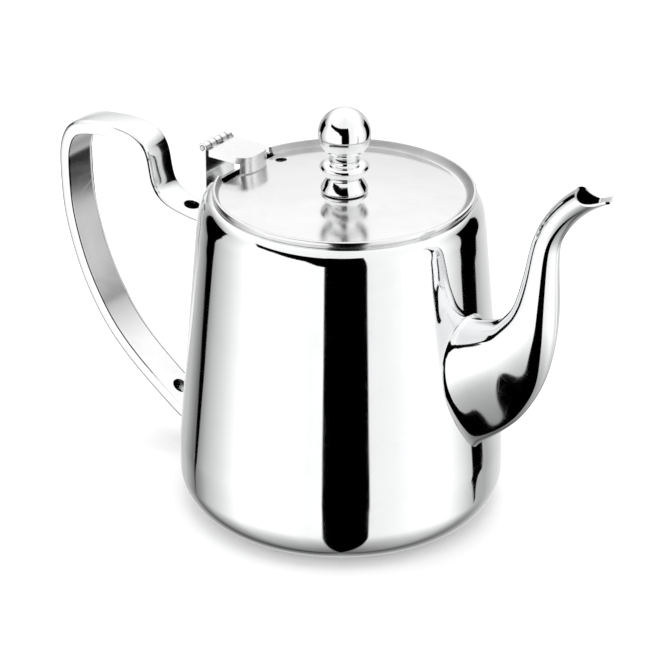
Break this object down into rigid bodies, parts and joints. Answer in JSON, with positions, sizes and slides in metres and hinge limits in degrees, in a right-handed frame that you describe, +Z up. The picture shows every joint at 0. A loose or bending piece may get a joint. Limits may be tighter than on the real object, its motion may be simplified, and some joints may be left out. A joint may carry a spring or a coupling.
{
  "type": "teapot",
  "caption": "Round tapered steel teapot with a hinged sunk lid, turned ball knob, swan-neck spout, strainer wall and hollow loop handle.",
  "frame": {"origin": "centre of the flat underside of the base disc, on the axis of the pot", "axes": "+Z up along the pot's axis, +X towards the spout, -X towards the handle and hinge, Y across"},
  "size_m": [0.2265, 0.116, 0.149],
  "materials": {
    "mirror_polished_steel": "mirror polished stainless steel",
    "satin_steel": "fine satin stainless steel",
    "underside_steel": "brushed stainless steel, turned on the lathe",
    "plain_steel": "bright drawn stainless steel"
  },
  "bodies": {
    "pot": {"body_shell": "mirror_polished_steel", "base_pan": "underside_steel", "spout_left_half": "mirror_polished_steel", "spout_right_half": "mirror_polished_steel", "handle_channel": "mirror_polished_steel", "handle_inner_strip": "satin_steel", "hinge_body_leaf": "mirror_polished_steel", "hinge_pin": "plain_steel"},
    "lid": {"lid_shell": "mirror_polished_steel", "hinge_lid_leaf": "satin_steel", "knob": "mirror_polished_steel", "knob_washer": "plain_steel", "knob_screw": "plain_steel"}
  },
  "joints": [
    {"name": "lid_hinge", "type": "hinge", "parent": "pot", "child": "lid", "pos_m": [-0.054, 0, 0.1237], "axis": [0, -1, 0], "range_deg": [0, 100]}
  ]
}
